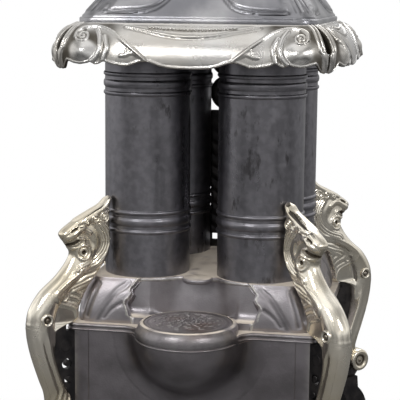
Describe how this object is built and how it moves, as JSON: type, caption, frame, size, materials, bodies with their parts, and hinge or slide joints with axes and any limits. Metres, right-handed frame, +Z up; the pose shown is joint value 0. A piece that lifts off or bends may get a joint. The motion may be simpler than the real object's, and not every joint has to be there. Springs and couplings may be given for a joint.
{
  "type": "gas parlor stove",
  "caption": "Cast-iron parlor gas heater with upright tubes between a square base on splayed legs and a domed top, nickelled griffins and skirts, a pot lid and a gas cock.",
  "frame": {"origin": "on the floor, under the middle of the four tubes", "axes": "+Z up, -Y towards the front with the pot lid, +X to the right as seen from the front"},
  "size_m": [0.501, 0.5427, 0.911],
  "materials": {
    "tube_iron": "satin stove black on sheet iron",
    "black_casting": "stove black on cast iron, dusty and a little rusty on the flats",
    "nickel": "polished nickel plate",
    "fastener_steel": "plain steel",
    "brass": "aged brass",
    "pipe_iron": "black gas pipe",
    "burner_iron": "bare cast iron"
  },
  "bodies": {
    "stove": {"back_panel": "black_casting", "back_skirt": "nickel", "base_bolts": "fastener_steel", "base_plate": "black_casting", "burner_front_left": "burner_iron", "burner_front_right": "burner_iron", "burner_rear_left": "burner_iron", "burner_rear_right": "burner_iron", "corner_post_front_left": "black_casting", "corner_post_front_right": "black_casting", "corner_post_rear_left": "black_casting", "corner_post_rear_right": "black_casting", "crown_plate": "black_casting", "dome": "black_casting", "finial": "nickel", "finial_stud": "fastener_steel", "fret_screws": "fastener_steel", "front_panel": "black_casting", "front_skirt": "nickel", "gas_cock": "brass", "griffin_front_left": "nickel", "griffin_front_right": "nickel", "griffin_rear_left": "nickel", "griffin_rear_right": "nickel", "griffin_screws": "fastener_steel", "hearth": "black_casting", "ledge": "black_casting", "left_panel": "black_casting", "left_skirt": "nickel", "leg_bolts": "fastener_steel", "leg_front_left": "black_casting", "leg_front_right": "black_casting", "leg_rear_left": "black_casting", "leg_rear_right": "black_casting", "manifold": "pipe_iron", "manifold_saddles": "pipe_iron", "mixer": "burner_iron", "rear_fret": "black_casting", "right_panel": "black_casting", "right_skirt": "nickel", "rod_nuts": "fastener_steel", "skirt_screws": "fastener_steel", "tie_rods": "fastener_steel", "tube_front_left": "tube_iron", "tube_front_right": "tube_iron", "tube_rear_left": "tube_iron", "tube_rear_right": "tube_iron", "vent_cap": "black_casting"},
    "lid": {"pot_lid": "black_casting"},
    "key": {"cock_key": "brass"},
    "shutter": {"air_shutter": "brass"}
  },
  "joints": [
    {"name": "lid_lift", "type": "slide", "parent": "stove", "child": "lid", "axis": [0, 0, 1], "range_m": [0, 0.04]},
    {"name": "key_turn", "type": "hinge", "parent": "stove", "child": "key", "pos_m": [0, 0.2259, 0.205], "axis": [0, 0, 1], "range_deg": [0, 90]},
    {"name": "shutter_turn", "type": "hinge", "parent": "stove", "child": "shutter", "pos_m": [0, 0.2126, 0.205], "axis": [0, 1, 0], "range_deg": [0, 60]}
  ]
}
